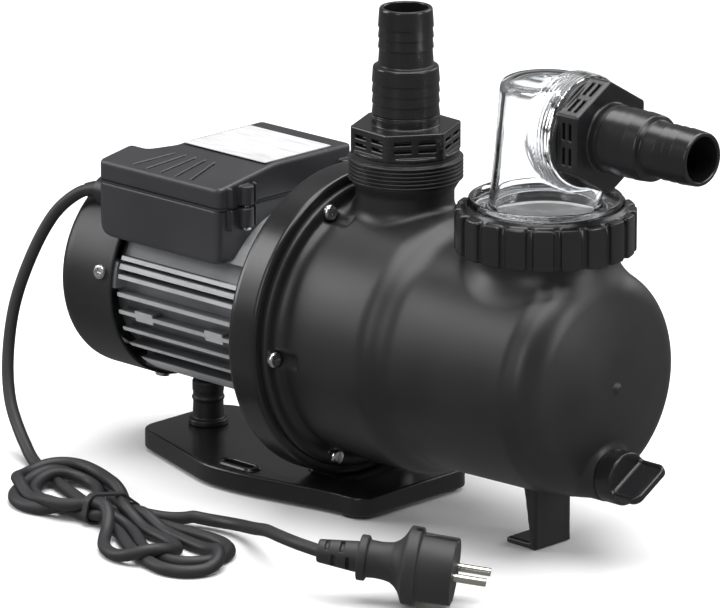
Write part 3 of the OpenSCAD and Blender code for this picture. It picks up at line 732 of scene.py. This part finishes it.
OUTLET_OUTLINE = Outline(eased([(-20, 150, 0), (28.6, 150, 0), (28.6, 192.5, 1), (32.2, 198.4, 0.5),
                                (32.2, 213, 0.4), (-20, 213, 0)]))
OUTLET_THREAD = eased([(30, 198.8, 0)] + thread_points(33.8, 1.3, 199, 2.3, 6) + [(30, 213, 0)])
BOSS_OUTLINE = Outline(eased([(-20, 130, 0), (41, 130, 0), (41, 176.6, 1), (44.6, 178.4, 0.5)]
                     + thread_points(45.6, 1.2, 179, 4, 4) + [(44.4, 198, 0.4), (-20, 198, 0)]))


def polar(y, z, angle, radius):
    """Distance from a bar's axis that runs along X at this angle from the top and radius."""
    a = math.radians(angle)
    return np.hypot(y + math.sin(a) * radius, z - AXIS_Z - math.cos(a) * radius)


def housing_field(x, y, z):
    """The whole housing: volute, pot, outlet neck, lid neck, drain boss and front foot."""
    radial = np.hypot(y, z - AXIS_Z)
    outlet = np.hypot(x, y)
    lid = np.hypot(x - LID_X, y)
    drain = np.hypot(y, z - DRAIN_Z)
    body = HOUSING_OUTLINE(radial, x)
    body = melt(body, OUTLET_OUTLINE(outlet, z), 5)
    body = melt(body, BOSS_OUTLINE(lid, z), 9)
    body = melt(body, rod_field(drain, x, 16, 138, 164, 1.5), 5)
    body = melt(body, foot_field(x, y, z), 1.5)
    body = melt(body, rod_field(radial, x, 2.7, 160, 169.2, 0.8), 0.6)
    for angle in SCREW_ANGLES:
        pocket = rod_field(polar(y, z, angle, SCREW_CIRCLE), x, 6, -29, -13, 1)
        body = carve(body, pocket, 1)
        body = carve(body, polar(y, z, angle, SCREW_CIRCLE) - 2.2, 0.3)
    body = carve(body, rod_field(radial, x, 73, -60, 8, 0.5), 0.5)
    body = carve(body, rod_field(radial, x, 24.6, 0, 20, 0.5), 0.5)
    body = carve(body, POT_OUTLINE(radial, x), 1)
    body = carve(body, rod_field(outlet, z, 20, 165, 220, 0.5), 0.5)
    body = carve(body, rod_field(outlet, z, 23.75, 196, 230, 0.3), 0.4)
    body = carve(body, rod_field(lid, z, 34.5, 140, 230, 0.3), 1.5)
    body = carve(body, rod_field(lid, z, 37, 194, 230, 0.3), 0.4)
    groove = np.maximum(np.maximum(38.9 - lid, lid - 42.3), 195.4 - z)
    body = carve(body, groove, 0.3)
    body = carve(body, rod_field(drain, x, 10.45, 120, 180, 0.3), 0.4)
    body = carve(body, rod_field(drain, x, 13.6, 162.8, 180, 0.2), 0.4)
    return np.maximum(body, 0.05 - z)


def foot_field(x, y, z):
    """Stamped looking front foot: a face, two side webs and a toe."""
    face = block_field(x, y, z, (115, -14.6, 0), (118.6, 14.6, 60), 0.8)
    toe = block_field(x, y, z, (95.5, -14.6, 0), (118.6, 14.6, 4), 0.8)
    slope = (x - 105) - (60 - z) * 0.165
    web = np.maximum(block_field(x, np.abs(y), z, (95, 11.6, 0), (118.6, 14.6, 60), 0.8), -slope)
    return melt(melt(face, toe, 1), web, 0.8)


skin("pump_housing_shell", housing_field, (-44, -88, 0), (170, 88, 214), 1.4, "base", "satin_black_plastic",
     "pump_housing")
place("outlet_thread", turned_mesh("outlet_thread", OUTLET_THREAD), "base", "satin_black_plastic",
      smooth=False)


# ---------------------------------------------------------------- the other mouldings

RIB_COUNT = 20
RIB_TURN = math.radians(5.4)
RING_OUTLINE = Outline(eased([
    (46, 177.6, 0.3), (50, 177.6, 1), (50, 199, 5), (45.2, 205.6, 1.5), (45.2, 201.5, 0.2),
    (47.2, 201.5, 0.2), (47.2, 197.8, 0.2), (46, 197.8, 0.2)]))


def lock_ring_field(x, y, z):
    """The lock ring: a skirt with a sloping shoulder and wide flat grips round it."""
    radial = np.hypot(x - LID_X, y)
    turn = repeated(np.arctan2(y, x - LID_X), RIB_COUNT, RIB_TURN)
    rib = block_field(radial * np.cos(turn), radial * np.sin(turn), z,
                      (40, -5.9, 177.6), (60, 5.9, 201.8), 1.5)
    rib = meet(meet(rib, radial - 52.4, 1), 47.5 - radial, 0.3)
    return melt(RING_OUTLINE(radial, z), rib, 0.7)


COVER_OUTLINE = Outline(eased([
    (-10, 198.2, 0), (46.8, 198.2, 0.4), (46.8, 201.2, 0.5), (44.5, 201.2, 0.3), (44.5, 208.5, 1),
    (42.4, 208.5, 0.8), (41.6, 203.2, 1.5), (34, 202.6, 1.5), (32.6, 206, 2), (29.4, 236, 0),
    (26.4, 277.5, 5), (12, 279.2, 3), (-10, 279.5, 0)]))
COVER_HOLLOW = Outline(eased([
    (-10, 190, 0), (30, 190, 0), (29.6, 206, 3), (26.4, 236, 0), (22.6, 273, 3), (12, 275.2, 3),
    (-10, 275.5, 0)]))
PORT_OUTLINE = Outline(eased([(-10, 112, 0), (24, 112, 0.5), (32.6, 127, 1)]
                             + thread_points(33.8, 1.2, 129, 2.4, 5) + [(32.6, 142, 0.5), (-10, 142, 0)]))
SUCTION_Z = 252


def strainer_cover_field(x, y, z):
    """The clear lid: a hollow dome on a funnel shaped flange, with a threaded port on its side."""
    radial = np.hypot(x - LID_X, y)
    port = np.hypot(y, z - SUCTION_Z)
    body = melt(COVER_OUTLINE(radial, z), PORT_OUTLINE(port, x), 2)
    body = melt(body, rod_field(radial, z, 2.4, 279, 280.3, 0.5), 0.5)
    body = carve(body, COVER_HOLLOW(radial, z), 0.5)
    body = carve(body, rod_field(port, x, 19, 111, 170, 0.3), 0.6)
    return carve(body, rod_field(port, x, 23.75, 128, 170, 0.3), 0.4)


def barb_points(radius, depth, start, pitch, count):
    """Hose ridges as (radius, height, corner) points, with their steps facing down."""
    out = []
    for i in range(count):
        out += [(radius - depth, start + i * pitch, 0.15), (radius, start + i * pitch + 0.3, 0.25)]
    return out


TAIL_OUTLINE = eased([(13, 10, 0), (20, 10, 0), (20, 22.8, 0.3)] + barb_points(19.9, 0.7, 23.2, 6.2, 4)
                     + [(19.2, 51.2, 1), (16.3, 52.2, 0.5)] + barb_points(16.3, 0.7, 62, 6.2, 3)
                     + [(15.6, 85, 0.5), (15, 86, 0.3), (13.4, 86, 0.3), (13, 85.4, 0)])
NUT_FLAT = 28.58
NUT_CORNER = 2.5
OUTLET_FACE = 215
PORT_FACE = 144


def tail_foot_field(x, y, z):
    """The hexagon and the spigot that a hose tail stands on."""
    radial = np.hypot(x, y)
    turn = repeated(np.arctan2(y, x), 6, math.pi / 6)
    across, side = radial * np.cos(turn), np.abs(radial * np.sin(turn))
    half = NUT_FLAT - NUT_CORNER
    past_corner = np.maximum(side - half * math.tan(math.pi / 6), 0)
    nut = np.hypot(np.maximum(across - half, 0), past_corner) - NUT_CORNER
    nut = meet(nut, np.maximum(-z, z - 16.5), 0.9)
    for low in (5.4, 10.2):
        nut = carve(nut, block_field(across, side, z, (25.4, 2.2, low), (40, 12.2, low + 2), 0.3), 0.3)
    body = melt(nut, rod_field(radial, z, 31.5, 0, 2.5, 0.6), 0.3)
    body = melt(body, rod_field(radial, z, 20, 8, 22, 0.2), 1)
    body = melt(body, rod_field(radial, z, 23.6, -14, 2, 0.8), 0.3)
    body = carve(body, rod_field(radial, z, 13, -30, 120, 0.3), 0.9)
    return carve(body, rod_field(radial, z, 20, -30, -4, 0.3), 0.5)


def make_hose_tails():
    """One hose tail mesh, standing on the outlet and lying in the lid's port."""
    foot = skin_mesh("tail_foot", tail_foot_field, (-34, -34, -15), (34, 34, 23), 0.65)
    barbs = turned_mesh("tail_barbs", TAIL_OUTLINE)
    mesh = joined("hose_tail", foot, barbs)
    mesh.materials.append(MATERIALS["gloss_black_plastic"])
    for face in mesh.polygons:
        face.use_smooth = face.index < len(foot.polygons)
    standing = Matrix.Translation((0, 0, OUTLET_FACE * MM)) @ Matrix.Rotation(math.radians(-5), 4, "Z")
    lying = (Matrix.Translation((PORT_FACE * MM, 0, SUCTION_Z * MM))
             @ Matrix.Rotation(math.radians(90), 4, "Y"))
    for name, body, at in (("discharge_hose_tail", "base", standing),
                           ("suction_hose_tail", "cover", lying)):
        piece = stand(name + "_moulded", mesh, body, at)
        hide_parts(name)


BOX_PLAN = Outline(eased([(-195, -62, 5), (-92, -62, 5), (-92, 50, 4), (-168, 50, 4), (-168, -20, 4),
                          (-180, -34, 4), (-195, -34, 4)]))
BOX_INNER = Outline(eased([(-192, -59, 3), (-95, -59, 3), (-95, 47, 3), (-165, 47, 3), (-165, -22, 3),
                           (-178, -37, 3), (-192, -37, 3)]))
BOX_SIDE = Outline(eased([(-195, 138, 14), (-92, 138, 8), (-92, 230, 0), (-195, 230, 0)]))
LID_TOP = Outline(eased([(-62, 150, 0), (-62, 185, 3), (-14, 193, 4), (50, 193, 2), (50, 150, 0)]))
LID_HOLLOW = Outline([(-59, 150), (-59, 182.8), (-14, 190.4), (47, 190.4), (47, 150)])
SCREW_BOSSES = ((-90.2, -41.5), (-170, 43), (-90.2, 43))
SEAM_Z = 172


def screw_bosses(body, x, y, z, low, high):
    """Adds the half round screw bosses, each between two thin ribs."""
    for at_x, at_y in SCREW_BOSSES:
        boss = rod_field(np.hypot(x - at_x, y - at_y), z, 4.6, low, high, 0.5)
        body = melt(body, boss, 0.6)
    for at_y in (-53.5, -33.5):
        rib = block_field(x, y, z, (-94, at_y - 0.8, low - 1), (-89.6, at_y + 0.8, high), 0.4)
        body = melt(body, rib, 0.4)
    return body


def terminal_box_field(x, y, z):
    """The open box that sits on the motor."""
    radial = np.hypot(y, z - AXIS_Z)
    body = meet(meet(BOX_PLAN(x, y), 138 - z, 3.5), BOX_SIDE(x, z), 2)
    body = screw_bosses(body, x, y, z, 160, 171.8)
    body = meet(body, z - SEAM_Z, 0.4)
    body = carve(body, np.maximum(np.maximum(BOX_INNER(x, y), 140.5 - z), 66 - radial), 0.4)
    body = melt(body, block_field(x, y, z, (-152, 8, 160), (-108, 30, 170.8), 0.5), 0.3)
    body = carve(body, rod_field(radial, x, 60.2, -220, -60, 0.3), 0.5)
    body = carve(body, rod_field(radial, x, 63.3, -220, -183, 0.3), 0.5)
    body = carve(body, rod_field(np.hypot(x + 130, y), z, 7, 150, 176, 0.3), 0.3)
    return carve(body, rod_field(np.hypot(y + 45, z - 161), x, 6.1, -205, -187, 0.3), 0.3)


def box_lid_field(x, y, z):
    """The lid of the box, with its sloping front and a fan of five slots."""
    body = meet(BOX_PLAN(x, y), LID_TOP(y, z), 2.2)
    body = screw_bosses(body, x, y, z, 173.5, 185)
    body = meet(body, SEAM_Z + 1.04 - z, 0.4)
    body = carve(body, np.maximum(BOX_INNER(x, y), LID_HOLLOW(y, z)), 0.4)
    for i in range(-2, 3):
        turn = math.radians(-5 + 9 * i)
        u, v = x + 143.5 - 10.3 * i, y + 44.5
        across = u * math.cos(turn) + v * math.sin(turn)
        along = v * math.cos(turn) - u * math.sin(turn)
        slot = block_field(across, along, z, (-0.8, -13.5, 180), (0.8, 13.5, 210), 0.3)
        body = carve(body, slot, 0.4)
    return body


FAN_COVER_OUTLINE = Outline(eased([
    (-10, -230, 0), (63, -230, 9), (63, -184, 0.5), (61, -184, 0.4), (61, -227.8, 7.5), (-10, -227.8, 0)]))
FAN_SLOTS = (14, 21, 28, 35, 42, 49)


def fan_cover_field(x, y, z):
    """The cup over the fan, with rings of slots crossed by six spokes."""
    radial = np.hypot(y, z - AXIS_Z)
    body = FAN_COVER_OUTLINE(radial, x)
    turn = repeated(np.arctan2(z - AXIS_Z, y), 6)
    spoke = np.abs(radial * np.sin(turn)) - 3
    for low in FAN_SLOTS:
        slot = np.maximum(np.maximum(np.abs(radial - low - 1.8) - 1.8, x + 224), -spoke)
        body = carve(body, slot, 0.4)
    return body


POST_X = -165
BASE_SLOT_X = -90
BASE_SLOT_Y = 48
BASE_PLAN = Outline(eased([
    (10, -47, 12), (10, 47, 12), (-12, 47, 12), (-80, 60, 12), (-106, 61, 12), (-190, 34, 12),
    (-190, -34, 12), (-106, -61, 12), (-80, -60, 12), (-12, -47, 12)], 8))


def base_plate_field(x, y, z):
    """The base plate with rimmed slots and the cradle that carries the ring."""
    body = meet(BASE_PLAN(x, y), np.maximum(2 - z, z - 14), 1.4)
    slot = np.hypot(np.maximum(np.abs(x - BASE_SLOT_X) - 9, 0), np.abs(y) - BASE_SLOT_Y)
    body = melt(body, meet(slot - 6, np.maximum(2 - z, z - 15.5), 0.6), 0.6)
    body = melt(body, block_field(x, y, z, (-54, -26, 2), (-32, 26, 20), 1), 1)
    body = carve(body, slot - 3.5, 0.5)
    body = carve(body, rod_field(np.hypot(y, z - AXIS_Z), x, 93.03, -60, -20, 0.3), 0.5)
    hole = np.hypot(x + 43, np.abs(y) - 14)
    body = carve(body, hole - 2.5, 0.3)
    body = carve(body, rod_field(hole, z, 5, -5, 5.5, 0.2), 0.3)
    return carve(body, np.hypot(x - POST_X, y) - 3, 0.3)


POST_OUTLINE = Outline(eased([
    (-8, 4, 0), (2.9, 4, 0), (2.9, 14, 0), (12, 14, 0.8), (12, 18, 1), (9.6, 18, 1), (9.2, 29, 0.5),
    (10, 30, 0.6), (10, 31.4, 0.6), (9.3, 32, 0.3), (9.3, 34.6, 0.3), (9.7, 35.2, 0.3), (9.7, 42, 1.6),
    (6, 42, 1), (6, 54, 0), (-8, 54, 0)]))


def motor_post_field(x, y, z):
    """The turned post between the base plate and the motor."""
    body = POST_OUTLINE(np.hypot(x - POST_X, y), z)
    return carve(body, np.hypot(y, z - AXIS_Z) - 60.03, 0.3)


def drain_plug_field(x, y, z):
    """The drain plug: a round head and spigot with a rimmed wing across it."""
    along, radial = x - DRAIN_X, np.hypot(y, z - DRAIN_Z)
    turn = math.radians(30)
    u = y * math.cos(turn) + (z - DRAIN_Z) * math.sin(turn)
    v = (z - DRAIN_Z) * math.cos(turn) - y * math.sin(turn)
    body = rod_field(radial, along, 15.6, 0.1, 12.5, 1)
    blade = np.hypot(np.maximum(np.abs(u) - 10, 0), np.maximum(along - 26, 0)) - 5
    wing = meet(blade, np.abs(v) - 1.6, 0.8)
    rim = meet(np.abs(blade + 1) - 1.2, np.abs(v) - 2.3, 0.8)
    wing = melt(wing, rim, 0.8)
    wing = np.maximum(wing, 6 - along)
    body = melt(body, wing, 1.5)
    return melt(body, rod_field(radial, along, 10.4, -8, 2, 0.6), 0.3)


skin("lock_ring_moulded", lock_ring_field, (57, -54, 177), (165, 54, 207), 0.85, "lock_ring",
     "gloss_black_plastic", "lock_ring")
skin("strainer_cover_clear", strainer_cover_field, (63, -48, 197), (159, 48, 287), 0.75, "cover",
     "clear_plastic", "strainer_cover")
make_hose_tails()
skin("terminal_box_moulded", terminal_box_field, (-196, -63, 137), (-85, 51, 173), 0.9, "base",
     "box_grey_plastic", "terminal_box")
skin("box_lid_moulded", box_lid_field, (-196, -63, 172), (-85, 51, 194), 0.8, "base",
     "box_grey_plastic", "box_lid")
skin("fan_cover_moulded", fan_cover_field, (-231, -64, 41), (-183, 64, 169), 1.0, "base",
     "satin_black_plastic", "fan_cover")
skin("base_plate_moulded", base_plate_field, (-191, -62, 1), (11, 62, 21), 1.0, "base",
     "gloss_black_plastic", "base_plate")
skin("motor_post_moulded", motor_post_field, (-178, -13, 3), (-152, 13, 55), 0.6, "base",
     "satin_black_plastic", "motor_post")
skin("drain_plug_moulded", drain_plug_field, (155, -17, 36), (196, 17, 70), 0.5, "drain_plug",
     "gloss_black_plastic", "drain_plug")


# ---------------------------------------------------------------- stage


def make_stage():
    """Pale floor, soft boxes and a dim studio around them."""
    bpy.ops.mesh.primitive_plane_add(size=80)
    floor = bpy.context.object
    floor.name = "floor"
    material, _, shader = node_material("floor")
    shader.inputs["Base Color"].default_value = (0.9, 0.9, 0.9, 1)
    shader.inputs["Roughness"].default_value = 0.8
    floor.data.materials.append(material)
    floor.visible_glossy = False
    world = bpy.data.worlds.new("studio")
    bpy.context.scene.world = world
    world.use_nodes = True
    world.node_tree.nodes["Background"].inputs["Color"].default_value = (1, 1, 1, 1)
    world.node_tree.nodes["Background"].inputs["Strength"].default_value = 0.22
    soft_box("top_box", (0.1, 0.1, 1.9), (0, 0, 0.1), 2.4, 2.0, 72)
    soft_box("left_box", (-1.9, -1.2, 1.1), (-0.05, 0, 0.1), 0.9, 1.6, 24)
    soft_box("front_box", (0.4, -2.5, 1.3), (0, 0, 0.1), 0.4, 1.6, 12)
    soft_box("right_box", (2.3, 0.7, 1.0), (0, 0, 0.1), 0.5, 1.4, 20)
    soft_box("back_box", (0.6, 2.2, 1.2), (0, 0, 0.1), 2.0, 1.0, 18)


def soft_box(name, at, towards, width, height, watts):
    """A rectangular studio light facing a point."""
    data = bpy.data.lights.new(name, "AREA")
    data.shape = "RECTANGLE"
    data.size = width
    data.size_y = height
    data.energy = watts
    light = bpy.data.objects.new(name, data)
    bpy.context.scene.collection.objects.link(light)
    light.location = at
    light.rotation_mode = "QUATERNION"
    light.rotation_quaternion = (Vector(at) - Vector(towards)).to_track_quat("Z", "Y")


make_stage()
bpy.context.scene.view_settings.view_transform = "Standard"
